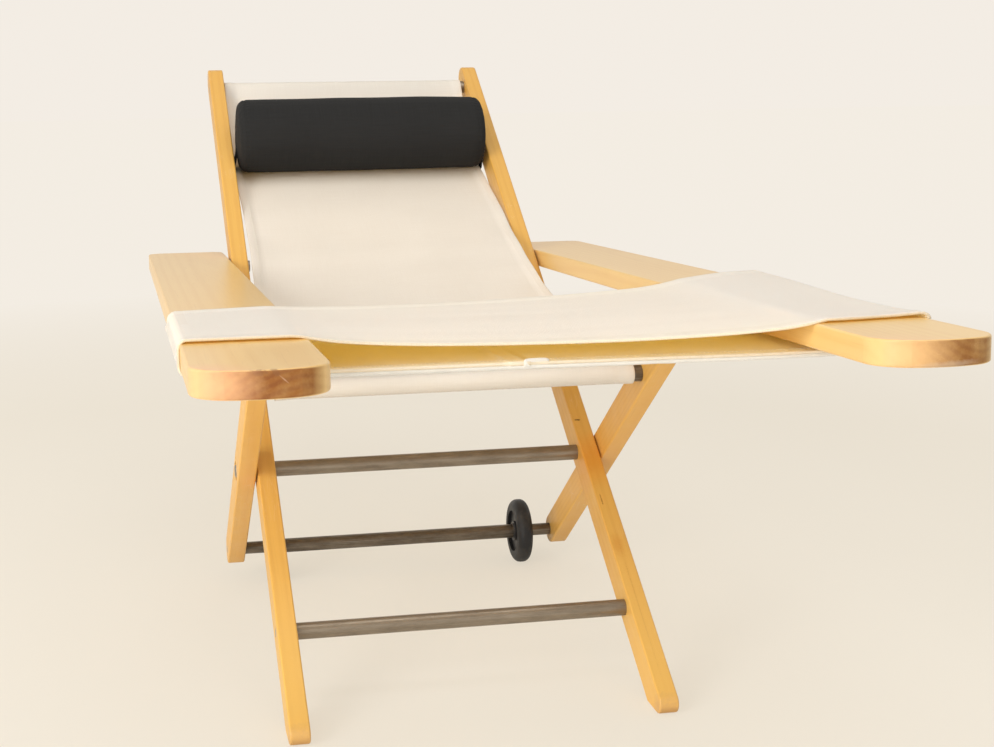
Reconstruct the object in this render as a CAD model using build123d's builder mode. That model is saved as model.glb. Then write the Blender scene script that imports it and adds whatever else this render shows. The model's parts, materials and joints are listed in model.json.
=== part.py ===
from build123d import *
import os
from math import asin, cos, degrees, radians, sin

# Folding deck chaise with long arm boards, a canvas back and a canvas leg sling.
# The origin is on the floor, under the middle of the whole chair. Front is -Y, up is +Z.
# Lengths are millimetres and angles are degrees.

# Overall stance
rail_angle = 32.7          # slope of the two long back rails, from the floor
pivot_height = 246.0       # crossing of the long rails and the short seat legs
arm_tilt = 3.6             # the arm boards rise this much towards the front

# Timber
board_thickness = 26.0     # rails and legs, measured across the chair
rail_depth = 44.0          # rails and legs, measured square to their length
rail_gap = 444.0           # clear width between the long rails
edge_rounding = 2.5        # eased edges of the rails and legs
toe_radius = 13.0          # rounded front corner of a rail's foot
head_overhang = 25.0       # from the head rod to the centre of the rail's round end
arm_thickness = 26.0
arm_width = 124.0
arm_reach = 1266.0         # from the arm bolt to the middle of the round nose
arm_overhang = 165.0       # behind the arm bolt
arm_edge_rounding = 2.5
arm_back_corner = 20.0
nose_crown = 20.0          # how far the nose's middle stands ahead of its corners
nose_corner = 42.0

# Places along the rails and legs, measured from the pivot
head_rod_reach = 928.0
lower_rod_reach = 285.0
arm_bolt_reach = 440.0
axle_reach = 316.0
seat_rod_reach = 258.0

# Steel
rod_radius = 11.0
axle_radius = 9.5
rod_socket = 14.0          # depth of a rod's blind socket in the timber
spindle_radius = 6.0       # turned ends of the pivot rod
screw_shank_radius = 3.0
screw_head_radius = 6.0
screw_head_depth = 3.5
screw_length = 34.0
washer_radius = 13.0
washer_thickness = 1.6
nut_sink = 7.0             # depth of the round recess in a leg that hides the nut
nut_recess_radius = 14.0
nut_radius = 9.5
nut_height = 6.6
nut_dome_share = 0.35      # of the nut's radius, its rounded shoulder
bolt_radius = 5.0
bolt_cap_radius = 9.0
bolt_cap_height = 4.0
insert_radius = 7.5
insert_depth = 24.0
fit_gap = 0.05             # all round a rod, screw or pin in its hole
side_gap = 0.2             # between flat faces that turn past each other
seat_gap = 0.3             # between cloth and what it lies on
nearly_along = 0.9998      # cosine above which an edge counts as lying along a board

# Wheels
wheel_radius = 51.0
wheel_width = 24.0
wheel_place = 188.0        # from the middle of the chair to a wheel's inner face
tyre_shoulder = 10.0
hub_radius = 33.0
hub_recess = 5.0           # the hub's web lies this far inside the tyre's side
boss_radius = 16.0
boss_recess = 1.5
bush_radius = 12.5
spacer_wall_gap = 0.1      # the spacer tube slides over the axle
clip_radius = 14.0
clip_thickness = 2.5

# Notched racks under the arm boards
rack_height = 14.0
rack_web = 6.0             # timber left above a notch
notch_pitch = 46.0
notch_count = 3
rack_end = 12.0            # timber past the first and the last notch
rack_screw_radius = 2.0
rack_screw_head = 4.0
rack_screw_length = 24.0

# Canvas
canvas_thickness = 2.0
back_canvas_gap = 4.0      # from the back canvas's edge to a rail
seat_canvas_gap = 12.0     # from its edge to a leg, at the seat rod
canvas_sag = 91.0          # depth of the back canvas below a straight line
taper_start_share = 0.45   # of the canvas's length, where it starts to widen
sling_front = 1072.0       # front edge of the leg sling, from the arm bolt
sling_back_left = 802.0    # back edge on the left board
sling_back_right = 657.0   # back edge on the right board, where it was pulled askew
sling_rack_gap = 20.0      # from the racks to the back edge of its lower layer
sling_droop = 15.5         # its top layer hangs this much between the boards
sling_slack = 4.0          # play past the boards' outer edges
sling_under_gap = 4.5      # play under the boards
sling_corner = 7.0
hem_roll = 2.4             # radius of the rolled hem along its front edge
tab_width = 26.0
tab_height = 10.0
tab_place = -24.5          # the tab sits a little left of the middle
tab_thickness = 0.8

# Bolster
bolster_radius = 64.0
bolster_end_gap = 9.0      # from its end to a rail
bolster_rounding = 20.0
bolster_crown = 1.5        # it is this much fatter in the middle
curve_samples = 400        # places where the resting bolster is tried against the canvas
bolster_place = 190.6      # from the head rod, along a straight line to the seat rod
strap_width = 25.0
strap_thickness = 1.5

# Derived places
half_depth = rail_depth / 2
rail_inner = rail_gap / 2
rail_outer = rail_inner + board_thickness
leg_inner = rail_outer + washer_thickness + 2 * side_gap
leg_outer = leg_inner + board_thickness
arm_inner = leg_inner
arm_outer = arm_inner + arm_width
arm_middle = arm_inner + arm_width / 2
back_canvas_width = rail_gap - 2 * back_canvas_gap
seat_canvas_width = 2 * (leg_inner - seat_canvas_gap)
bolster_half = rail_inner - bolster_end_gap

rail_a = radians(rail_angle)
leg_a = asin((pivot_height - wheel_radius) / axle_reach)
arm_a = radians(arm_tilt)

# The chair's ends, seen from the pivot, put the origin under its middle.
bolt_back = arm_bolt_reach * cos(rail_a)
nose_reach = arm_reach - arm_edge_rounding
nose_rise = arm_thickness / 2 - arm_edge_rounding
front_end = nose_reach * cos(arm_a) + nose_rise * sin(arm_a) + arm_edge_rounding - bolt_back
head_end = (head_rod_reach + head_overhang) * cos(rail_a) + half_depth
pivot_y = (front_end - head_end) / 2
pivot = Vector(0, pivot_y, pivot_height)

along_rail = Vector(0, cos(rail_a), sin(rail_a))
along_leg = Vector(0, -cos(leg_a), sin(leg_a))
along_arm = Vector(0, -cos(arm_a), sin(arm_a))
over_arm = Vector(0, sin(arm_a), cos(arm_a))
across = Vector(1, 0, 0)

arm_bolt = pivot + along_rail * arm_bolt_reach
head_rod_at = pivot + along_rail * head_rod_reach
lower_rod_at = pivot - along_rail * lower_rod_reach
axle_at = pivot - along_leg * axle_reach
seat_rod_at = pivot + along_leg * seat_rod_reach

# A leg's round top sits in the front notch of the rack, so its reach follows the arm board.
notch_radius = half_depth + seat_gap
notch_drop = arm_thickness / 2 + rack_web + notch_radius
leg_top_reach = ((arm_bolt - pivot).dot(over_arm) - notch_drop) / along_leg.dot(over_arm)
notch_forward = (pivot + along_leg * leg_top_reach - arm_bolt).dot(along_arm)

sides = ((-1, "left"), (1, "right"))

os.makedirs("parts", exist_ok=True)


def save(part, name):
    part.label = name
    export_step(part, f"parts/{name}.step")


def side_plane(x, at, along):
    # A plane across the chair's width: its X runs along a member, its Z points right.
    return Plane(origin=(x, at.Y, at.Z), x_dir=along, z_dir=across)


def arm_plane(height):
    # Parallel to the arm boards, at a height above their middle. Its Y points backwards.
    return Plane(origin=arm_bolt + over_arm * height, x_dir=across, z_dir=over_arm)


def turned_plane(at, side):
    # Through an axis across the chair: X runs outwards on this side, Y is the radius.
    return Plane(origin=at, x_dir=(side, 0, 0), z_dir=(0, 1, 0))


def axis_at(at):
    return Axis(at, (1, 0, 0))


def floor_reach(v):
    # Where a line along a rail, v above its middle, meets the floor.
    return -(pivot_height + v * cos(rail_a)) / sin(rail_a)


def bore(at, x, side, depth, radius):
    # A hole across the chair, from the face at x inwards to the side given.
    with BuildSketch(Plane(origin=(x, at.Y, at.Z), x_dir=(0, 1, 0), z_dir=(side, 0, 0))) as hole:
        Circle(radius)
    extrude(hole.sketch, amount=depth, mode=Mode.SUBTRACT)


def long_edges(part, along):
    # The edges that run the whole length of a rail or leg.
    return part.edges().filter_by(lambda e: e.geom_type == GeomType.LINE
                                  and abs(e.tangent_at(0.5).dot(along)) > nearly_along)


# The two long back rails, round at the head and cut flat at the floor.
rail_end = head_rod_reach + head_overhang
for side, side_name in sides:
    x_low = min(side * rail_inner, side * rail_outer)
    with BuildPart() as rail:
        with BuildSketch(side_plane(x_low, pivot, along_rail)) as rail_profile:
            with BuildLine():
                Polyline((rail_end, half_depth), (floor_reach(half_depth), half_depth),
                         (floor_reach(-half_depth), -half_depth), (rail_end, -half_depth))
                ThreePointArc((rail_end, -half_depth), (rail_end + half_depth, 0), (rail_end, half_depth))
            make_face()
            toe = rail_profile.vertices().sort_by(Axis.X)[0]
            fillet(toe, toe_radius)
        extrude(amount=board_thickness)
        fillet(long_edges(rail, along_rail), edge_rounding)
        for rod_at in (head_rod_at, lower_rod_at):
            bore(rod_at, side * rail_inner, side, rod_socket, rod_radius + fit_gap)
            bore(rod_at, side * rail_inner, side, board_thickness, screw_shank_radius + fit_gap)
            with BuildSketch(turned_plane(rod_at, side)):
                Polygon((rail_outer, 0), (rail_outer, screw_head_radius + fit_gap),
                        (rail_outer - screw_head_depth, screw_shank_radius + fit_gap),
                        (rail_outer - screw_head_depth, 0), align=None)
            revolve(axis=axis_at(rod_at), mode=Mode.SUBTRACT)
        bore(pivot, side * rail_inner, side, board_thickness, spindle_radius + fit_gap)
        bore(arm_bolt, side * rail_inner, side, board_thickness, bolt_radius + fit_gap)
    save(rail.part, f"{side_name}_back_rail")


# The two short seat legs, round at both ends. They cross outside the long rails.
for side, side_name in sides:
    x_low = min(side * leg_inner, side * leg_outer)
    with BuildPart() as leg:
        with BuildSketch(side_plane(x_low, pivot, along_leg)):
            with BuildLine():
                Line((-axle_reach, half_depth), (leg_top_reach, half_depth))
                ThreePointArc((leg_top_reach, half_depth), (leg_top_reach + half_depth, 0),
                              (leg_top_reach, -half_depth))
                Line((leg_top_reach, -half_depth), (-axle_reach, -half_depth))
                ThreePointArc((-axle_reach, -half_depth), (-axle_reach - half_depth, 0),
                              (-axle_reach, half_depth))
            make_face()
        extrude(amount=board_thickness)
        fillet(long_edges(leg, along_leg), edge_rounding)
        for rod_at, radius in ((seat_rod_at, rod_radius), (axle_at, axle_radius)):
            bore(rod_at, side * leg_inner, side, rod_socket, radius + fit_gap)
            bore(rod_at, side * leg_inner, side, board_thickness, screw_shank_radius + fit_gap)
            with BuildSketch(turned_plane(rod_at, side)):
                Polygon((leg_outer, 0), (leg_outer, screw_head_radius + fit_gap),
                        (leg_outer - screw_head_depth, screw_shank_radius + fit_gap),
                        (leg_outer - screw_head_depth, 0), align=None)
            revolve(axis=axis_at(rod_at), mode=Mode.SUBTRACT)
        bore(pivot, side * leg_inner, side, board_thickness, spindle_radius + fit_gap)
        bore(pivot, side * leg_outer, -side, nut_sink, nut_recess_radius)
    save(leg.part, f"{side_name}_seat_leg")


# Plain steel rods with a tapped hole in each end.
screw_in_rod = screw_length - (board_thickness - rod_socket)


def plain_rod(at, half_length, radius):
    with BuildPart() as rod:
        with BuildSketch(Plane.YZ.offset(-half_length)):
            with Locations((at.Y, at.Z)):
                Circle(radius)
        extrude(amount=2 * half_length)
        for side, side_name in sides:
            bore(at, side * half_length, -side, screw_in_rod + fit_gap, screw_shank_radius + fit_gap)
    return rod.part


rail_rod_half = rail_inner + rod_socket
leg_rod_half = leg_inner + rod_socket
save(plain_rod(head_rod_at, rail_rod_half, rod_radius), "head_rod")
save(plain_rod(lower_rod_at, rail_rod_half, rod_radius), "lower_rod")
save(plain_rod(seat_rod_at, leg_rod_half, rod_radius), "seat_rod")
save(plain_rod(axle_at, leg_rod_half, axle_radius), "axle")


# The pivot rod: full size between the rails, turned down where it passes rails and legs.
nut_washer_face = leg_outer - nut_sink + side_gap
nut_start = nut_washer_face + washer_thickness
spindle_end = nut_start + nut_height / 2
with BuildPart() as pivot_rod:
    with BuildSketch(turned_plane(pivot, 1)):
        Polygon((-spindle_end, 0), (-spindle_end, spindle_radius), (-rail_inner, spindle_radius),
                (-rail_inner, rod_radius), (rail_inner, rod_radius), (rail_inner, spindle_radius),
                (spindle_end, spindle_radius), (spindle_end, 0), align=None)
    revolve(axis=axis_at(pivot))
save(pivot_rod.part, "pivot_rod")


def washers(at, places, hole, radius, thickness):
    # Flat rings round an axis across the chair, one from each place outwards.
    with BuildPart() as rings:
        for side, x in places:
            with BuildSketch(Plane(origin=(side * x, at.Y, at.Z), x_dir=(0, 1, 0), z_dir=(side, 0, 0))):
                Circle(radius)
                Circle(hole, mode=Mode.SUBTRACT)
            extrude(amount=thickness)
    return rings.part


def pair(x):
    return ((-1, x), (1, x))


save(washers(pivot, pair(rail_outer + side_gap), spindle_radius + fit_gap, washer_radius,
             washer_thickness), "pivot_inner_washers")
save(washers(pivot, pair(nut_washer_face), spindle_radius + fit_gap, washer_radius,
             washer_thickness), "pivot_outer_washers")
save(washers(arm_bolt, pair(rail_outer + side_gap), bolt_radius + fit_gap, washer_radius,
             washer_thickness), "arm_washers")

# Round cap nuts on the ends of the pivot rod.
nut_dome = nut_radius * nut_dome_share
with BuildPart() as pivot_nuts:
    for side, side_name in sides:
        with BuildSketch(turned_plane(pivot, side)):
            with BuildLine():
                Polyline((nut_start + nut_height, 0), (nut_start + nut_height / 2, 0),
                         (nut_start + nut_height / 2, spindle_radius + fit_gap),
                         (nut_start, spindle_radius + fit_gap), (nut_start, nut_radius),
                         (nut_start + nut_height - nut_dome, nut_radius))
                RadiusArc((nut_start + nut_height - nut_dome, nut_radius),
                          (nut_start + nut_height, nut_radius - nut_dome), nut_dome)
                Line((nut_start + nut_height, nut_radius - nut_dome), (nut_start + nut_height, 0))
            make_face()
        revolve(axis=axis_at(pivot))
save(pivot_nuts.part, "pivot_nuts")


def rod_screws(at_list, face):
    # Countersunk screws through the timber into the ends of the rods.
    with BuildPart() as screws:
        for at in at_list:
            for side, side_name in sides:
                with BuildSketch(turned_plane(at, side)):
                    Polygon((face, 0), (face, screw_head_radius),
                            (face - screw_head_depth, screw_shank_radius),
                            (face - screw_length, screw_shank_radius), (face - screw_length, 0),
                            align=None)
                revolve(axis=axis_at(at))
    return screws.part


save(rod_screws((head_rod_at, lower_rod_at), rail_outer), "rail_rod_screws")
save(rod_screws((seat_rod_at, axle_at), leg_outer), "leg_rod_screws")


# The arm boards: flat, with a round-cornered, crowned nose, each hung on a bolt through its rail.
rack_start = notch_forward - (notch_count - 1) * notch_pitch
notch_half = (notch_radius ** 2 - (notch_radius + rack_web - rack_height) ** 2) ** 0.5
rack_back = rack_start - notch_half - rack_end
rack_front = notch_forward + notch_half + rack_end
sling_under_back = rack_front + sling_rack_gap
rack_screw_places = (rack_back + rack_end / 2, rack_start + notch_pitch / 2, rack_front - rack_end / 2)
leg_to_arm = degrees(leg_a - arm_a)
for side, side_name in sides:
    with BuildPart() as arm:
        with BuildSketch(arm_plane(-arm_thickness / 2)) as arm_outline:
            with BuildLine():
                Polyline((side * arm_inner, nose_crown - arm_reach), (side * arm_inner, arm_overhang),
                         (side * arm_outer, arm_overhang), (side * arm_outer, nose_crown - arm_reach))
                ThreePointArc((side * arm_outer, nose_crown - arm_reach), (side * arm_middle, -arm_reach),
                              (side * arm_inner, nose_crown - arm_reach))
            make_face()
            fillet(arm_outline.vertices().sort_by(Axis.Y)[-2:], arm_back_corner)
            fillet(arm_outline.vertices().sort_by(Axis.Y)[:2], nose_corner)
        extrude(amount=arm_thickness)
        rims = (arm.faces().sort_by(Axis.Z)[0].edges() + arm.faces().sort_by(Axis.Z)[-1].edges())
        fillet(rims, arm_edge_rounding)
        bore(arm_bolt, side * arm_inner, side, insert_depth, insert_radius + fit_gap)
        for forward in rack_screw_places:
            screw_at = arm_bolt + along_arm * forward + across * (side * (arm_inner + board_thickness / 2))
            with BuildSketch(Plane(origin=screw_at - over_arm * (arm_thickness / 2), x_dir=across,
                                   z_dir=over_arm)):
                Circle(rack_screw_radius + fit_gap)
            extrude(amount=rack_screw_length - rack_height + side_gap, mode=Mode.SUBTRACT)
    save(arm.part, f"{side_name}_armrest")


# Threaded inserts in the inner edges of the boards, and the bolts that they hold.
with BuildPart() as arm_inserts:
    for side, side_name in sides:
        with BuildSketch(turned_plane(arm_bolt, side)):
            Polygon((arm_inner, bolt_radius + fit_gap), (arm_inner, insert_radius),
                    (arm_inner + insert_depth - fit_gap, insert_radius),
                    (arm_inner + insert_depth - fit_gap, bolt_radius + fit_gap), align=None)
        revolve(axis=axis_at(arm_bolt))
save(arm_inserts.part, "arm_inserts")

cap_face = rail_inner - side_gap
with BuildPart() as arm_bolts:
    for side, side_name in sides:
        with BuildSketch(turned_plane(arm_bolt, side)):
            Polygon((cap_face - bolt_cap_height, 0), (cap_face - bolt_cap_height, bolt_cap_radius),
                    (cap_face, bolt_cap_radius), (cap_face, bolt_radius),
                    (arm_inner + insert_depth - side_gap, bolt_radius),
                    (arm_inner + insert_depth - side_gap, 0), align=None)
        revolve(axis=axis_at(arm_bolt))
save(arm_bolts.part, "arm_pivot_bolts")


# A notched rack under each board takes the round tops of the legs.
for side, side_name in sides:
    x_low = min(side * leg_inner, side * leg_outer)
    with BuildPart() as rack:
        with BuildSketch(side_plane(x_low, arm_bolt, along_arm)):
            Polygon((rack_back, arm_thickness / 2), (rack_front, arm_thickness / 2),
                    (rack_front, arm_thickness / 2 + rack_height),
                    (rack_back, arm_thickness / 2 + rack_height), align=None)
            for n in range(notch_count):
                with Locations((rack_start + n * notch_pitch, notch_drop)):
                    Circle(notch_radius, mode=Mode.SUBTRACT)
                    Rectangle(rail_depth, 2 * notch_radius, rotation=-leg_to_arm,
                              align=(Align.MAX, Align.CENTER), mode=Mode.SUBTRACT)
        extrude(amount=board_thickness)
        for forward in rack_screw_places:
            screw_at = arm_bolt + along_arm * forward + across * (side * (arm_inner + board_thickness / 2))
            with BuildSketch(Plane(origin=screw_at - over_arm * (arm_thickness / 2 + rack_height),
                                   x_dir=across, z_dir=over_arm)):
                Circle(rack_screw_radius + fit_gap)
            extrude(amount=rack_height, mode=Mode.SUBTRACT)
    save(rack.part, f"{side_name}_arm_rack")

with BuildPart() as rack_screws:
    for side, side_name in sides:
        for forward in rack_screw_places:
            screw_at = arm_bolt + along_arm * forward + across * (side * (arm_inner + board_thickness / 2))
            foot = screw_at - over_arm * (arm_thickness / 2 + rack_height)
            with BuildSketch(Plane(origin=foot, x_dir=across, z_dir=over_arm)):
                Circle(rack_screw_radius)
            extrude(amount=rack_screw_length)
            with BuildSketch(Plane(origin=foot, x_dir=across, z_dir=-over_arm)):
                Circle(rack_screw_head)
            extrude(amount=rack_screw_radius)
save(rack_screws.part, "rack_screws")


# Wheels: a round-shouldered tyre on a recessed hub, with a plain bush on the axle.
wheel_middle = wheel_place + wheel_width / 2
for side, side_name in sides:
    with BuildPart() as tyre:
        with BuildSketch(turned_plane(axle_at, side)) as tyre_profile:
            with Locations((wheel_middle, (wheel_radius + hub_radius) / 2)):
                Rectangle(wheel_width, wheel_radius - hub_radius)
            fillet(tyre_profile.vertices().sort_by(Axis.Y)[-2:], tyre_shoulder)
        revolve(axis=axis_at(axle_at))
    save(tyre.part, f"{side_name}_tyre")

    with BuildPart() as hub:
        with BuildSketch(turned_plane(axle_at, side)):
            with BuildLine():
                web = wheel_width / 2 - hub_recess
                boss = wheel_width / 2 - boss_recess
                Polyline((wheel_middle - boss, bush_radius), (wheel_middle - boss, boss_radius),
                         (wheel_middle - web, boss_radius), (wheel_middle - web, hub_radius),
                         (wheel_middle + web, hub_radius), (wheel_middle + web, boss_radius),
                         (wheel_middle + boss, boss_radius), (wheel_middle + boss, bush_radius),
                         close=True)
            make_face()
        revolve(axis=axis_at(axle_at))
    save(hub.part, f"{side_name}_hub")

    with BuildPart() as bush:
        with BuildSketch(turned_plane(axle_at, side)):
            with Locations((wheel_middle, (bush_radius + axle_radius + fit_gap) / 2)):
                Rectangle(wheel_width, bush_radius - axle_radius - fit_gap)
        revolve(axis=axis_at(axle_at))
    save(bush.part, f"{side_name}_wheel_bush")

# A tube over the axle keeps the wheels apart, and a clip outside each holds it on.
spacer_half = wheel_place - side_gap
with BuildPart() as spacer:
    with BuildSketch(Plane.YZ.offset(-spacer_half)):
        with Locations((axle_at.Y, axle_at.Z)):
            Circle(rod_radius)
            Circle(axle_radius + spacer_wall_gap, mode=Mode.SUBTRACT)
    extrude(amount=2 * spacer_half)
save(spacer.part, "axle_spacer_tube")
save(washers(axle_at, pair(wheel_place + wheel_width + side_gap), axle_radius + fit_gap, clip_radius,
             clip_thickness), "wheel_clips")


half_back = back_canvas_width / 2

# The back canvas hangs from the head rod to the seat rod, and loops round both.
chord = seat_rod_at - head_rod_at
chord_length = chord.length
along_chord = chord.normalized()
over_chord = along_chord.cross(across) * -1
if over_chord.Z < 0:
    over_chord = over_chord * -1
pocket_inner = rod_radius + seat_gap
pocket_outer = pocket_inner + canvas_thickness

# The canvas runs straight to the bolster, dips under it, and sags again below.
# Each pair is a share of its length, and the share of its sag there.
sag_shares = ((0.0, 0.0), (0.06, 0.35), (0.12, 0.7), (0.155, 0.89), (0.183, 0.96), (0.21, 0.945),
              (0.26, 0.885), (0.32, 0.885), (0.4, 0.955), (0.48, 1.0), (0.56, 0.985), (0.64, 0.93),
              (0.72, 0.83), (0.8, 0.67), (0.88, 0.44), (0.94, 0.23), (1.0, 0.0))


def canvas_curve(rise):
    # Points along the canvas, rise above its underside, from rod to rod.
    top = pocket_inner + rise
    return [(place_share * chord_length, top - sag_share * canvas_sag)
            for place_share, sag_share in sag_shares]


with BuildPart() as back_sling:
    sling_plane = Plane(origin=head_rod_at - across * (seat_canvas_width / 2), x_dir=along_chord,
                        z_dir=across)
    over_sign = 1 if sling_plane.y_dir.dot(over_chord) > 0 else -1
    lower_curve = [(s, over_sign * v) for s, v in canvas_curve(0)]
    upper_curve = [(s, over_sign * v) for s, v in canvas_curve(canvas_thickness)]
    with BuildSketch(sling_plane):
        with BuildLine():
            Spline(*lower_curve)
            Line(lower_curve[-1], upper_curve[-1])
            Spline(*upper_curve)
            Line(upper_curve[0], lower_curve[0])
        make_face()
        with Locations((0, 0), (chord_length, 0)):
            Circle(pocket_outer)
        with Locations((0, 0), (chord_length, 0)):
            Circle(pocket_inner, mode=Mode.SUBTRACT)
    extrude(amount=seat_canvas_width)
    half_seat = seat_canvas_width / 2
    taper_start = taper_start_share * chord_length
    with BuildSketch(Plane(origin=head_rod_at, x_dir=along_chord, z_dir=over_chord)):
        Polygon((-pocket_outer, -half_back), (taper_start, -half_back),
                (chord_length - pocket_outer, -half_seat), (chord_length + pocket_outer, -half_seat),
                (chord_length + pocket_outer, half_seat), (chord_length - pocket_outer, half_seat),
                (taper_start, half_back), (-pocket_outer, half_back), align=None)
    extrude(amount=2 * canvas_sag, both=True, mode=Mode.INTERSECT)
save(back_sling.part, "back_sling")


# The leg sling is a closed band of canvas round both arm boards.
band_side = arm_outer + sling_slack
band_top = arm_thickness / 2 + seat_gap
band_under = -arm_thickness / 2 - sling_under_gap


def band_outline(thickness):
    # The band's section: flat over the boards, drooping between them, taut below.
    side = band_side + thickness
    top = band_top + thickness
    under = band_under - thickness
    corner = sling_corner + thickness
    with BuildLine() as outline:
        ThreePointArc((-arm_inner, top), (0, top - sling_droop), (arm_inner, top))
        Line((arm_inner, top), (side - corner, top))
        RadiusArc((side - corner, top), (side, top - corner), corner)
        Line((side, top - corner), (side, under + corner))
        RadiusArc((side, under + corner), (side - corner, under), corner)
        Line((side - corner, under), (-side + corner, under))
        RadiusArc((-side + corner, under), (-side, under + corner), corner)
        Line((-side, under + corner), (-side, top - corner))
        RadiusArc((-side, top - corner), (-side + corner, top), corner)
        Line((-side + corner, top), (-arm_inner, top))
    return outline.edges()


band_wide = 2 * band_side
with BuildPart() as leg_sling:
    band_back = min(sling_back_left, sling_back_right, sling_under_back)
    with BuildSketch(Plane(origin=arm_bolt + along_arm * band_back, x_dir=across, z_dir=along_arm)):
        make_face(band_outline(canvas_thickness))
        make_face(band_outline(0), mode=Mode.SUBTRACT)
    extrude(amount=sling_front - band_back)
    # The back edge of the top layer runs askew.
    with BuildSketch(arm_plane(0)):
        Polygon((-band_wide, -sling_back_left - (sling_back_left - sling_back_right) / 2),
                (band_wide, -sling_back_right + (sling_back_left - sling_back_right) / 2),
                (band_wide, 0), (-band_wide, 0), align=None)
    extrude(amount=arm_thickness, both=True, mode=Mode.SUBTRACT)
    # Its lower layer stops in front of the legs.
    with BuildSketch(arm_plane(band_under + canvas_thickness)):
        Polygon((-band_wide, -sling_under_back), (band_wide, -sling_under_back),
                (band_wide, 0), (-band_wide, 0), align=None)
    extrude(amount=-arm_thickness, mode=Mode.SUBTRACT)
save(leg_sling.part, "leg_sling")

# The rolled hem under the front edge of the lower layer, with a small blank tab beside it.
hem_at = arm_bolt + along_arm * (sling_front - hem_roll)
hem_height = band_under - canvas_thickness - hem_roll
hem_half = band_side - sling_corner
with BuildPart() as hem:
    with BuildSketch(Plane(origin=hem_at + over_arm * hem_height - across * hem_half, x_dir=(0, 1, 0),
                           z_dir=across)):
        Circle(hem_roll)
    extrude(amount=2 * hem_half)
save(hem.part, "leg_sling_hem")

tab_at = arm_bolt + along_arm * (sling_front + tab_thickness) + over_arm * band_under + across * tab_place
with BuildPart() as tab:
    with BuildSketch(Plane(origin=tab_at, x_dir=across, z_dir=-along_arm)):
        Rectangle(tab_width, tab_height)
    extrude(amount=tab_thickness)
save(tab.part, "care_tab")


# The bolster lies in the dent of the canvas, held by a band that passes behind it.
def canvas_samples(rise):
    # Places on the finished curve of the canvas, close together.
    curve = Edge.make_spline([Vector(*point) for point in canvas_curve(rise)])
    return [curve.position_at(n / curve_samples) for n in range(curve_samples + 1)]


rest_height = max(point.Y + (bolster_radius ** 2 - (point.X - bolster_place) ** 2) ** 0.5
                  for point in canvas_samples(canvas_thickness)
                  if abs(point.X - bolster_place) < bolster_radius) + seat_gap
canvas_under = min(point.Y for point in canvas_samples(0) if abs(point.X - bolster_place) < strap_width)
bolster_at = head_rod_at + along_chord * bolster_place + over_chord * rest_height
end_radius = bolster_radius - bolster_crown
with BuildPart() as bolster:
    with BuildSketch(turned_plane(bolster_at, 1)) as bolster_profile:
        with BuildLine():
            ThreePointArc((-bolster_half + bolster_rounding, end_radius), (0, bolster_radius),
                          (bolster_half - bolster_rounding, end_radius))
            RadiusArc((bolster_half - bolster_rounding, end_radius),
                      (bolster_half, end_radius - bolster_rounding), bolster_rounding)
            Polyline((bolster_half, end_radius - bolster_rounding), (bolster_half, 0), (-bolster_half, 0),
                     (-bolster_half, end_radius - bolster_rounding))
            RadiusArc((-bolster_half, end_radius - bolster_rounding),
                      (-bolster_half + bolster_rounding, end_radius), bolster_rounding)
        make_face()
    revolve(axis=axis_at(bolster_at))
save(bolster.part, "bolster")

# The band comes down from the bolster's ends, and passes close outside the canvas's edges.
strap_end = bolster_half + seat_gap
strap_side = half_back + seat_gap
strap_back = canvas_under - seat_gap
strap_step = rest_height - bolster_radius + strap_width
strap_top = rest_height + strap_width / 2
strap_turn = strap_step - strap_width / 2
strap_half = [(0, strap_back), (strap_side, strap_back), (strap_side, strap_turn), (strap_end, strap_step),
              (strap_end, strap_top), (strap_end + strap_thickness, strap_top),
              (strap_end + strap_thickness, strap_step), (strap_side + strap_thickness, strap_turn),
              (strap_side + strap_thickness, strap_back - strap_thickness), (0, strap_back - strap_thickness)]
strap_plane = Plane(origin=head_rod_at + along_chord * (bolster_place - strap_width / 2), x_dir=across,
                    z_dir=along_chord)
strap_sign = 1 if strap_plane.y_dir.dot(over_chord) > 0 else -1
with BuildPart() as strap:
    with BuildSketch(strap_plane):
        Polygon(*[(x, strap_sign * v) for x, v in strap_half], align=None)
        mirror(about=Plane.YZ)
    extrude(amount=strap_width)
save(strap.part, "bolster_strap")


# Figures for the record and the report.
leg_angle = degrees(leg_a)
open_angle = 180 - rail_angle - leg_angle
print("pivot", [round(c, 2) for c in pivot], "leg angle", round(leg_angle, 3), "open angle", round(open_angle, 3))
for place_name, place in (("arm bolt", arm_bolt), ("head rod", head_rod_at), ("lower rod", lower_rod_at),
                          ("axle", axle_at), ("seat rod", seat_rod_at), ("bolster", bolster_at)):
    print(place_name, [round(c, 2) for c in place])
print("leg top reach", round(leg_top_reach, 2), "notch forward", round(notch_forward, 2))
print("ends front", round(pivot_y - front_end, 2), "back", round(pivot_y + head_end, 2))
print("canvas chord", round(chord_length, 1), "gap to rods", round(seat_gap, 2))
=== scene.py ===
# %% [markdown]
# # Dressing a folding deck chaise
# The frame of this chair is already built as solids, at real size. This file gives it its looks: oiled
# timber, raw steel rods, cream canvas, a dark bolster and black wheels. Lengths are metres. The chair's
# front is -Y and up is +Z, and every piece is made where it lies, so nothing is moved afterwards.

# %% Load the solid frame
import json
from math import atan2, cos, hypot, pi, radians, sin, sqrt

import bmesh
import bpy
from mathutils import Matrix, Vector, noise


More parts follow.
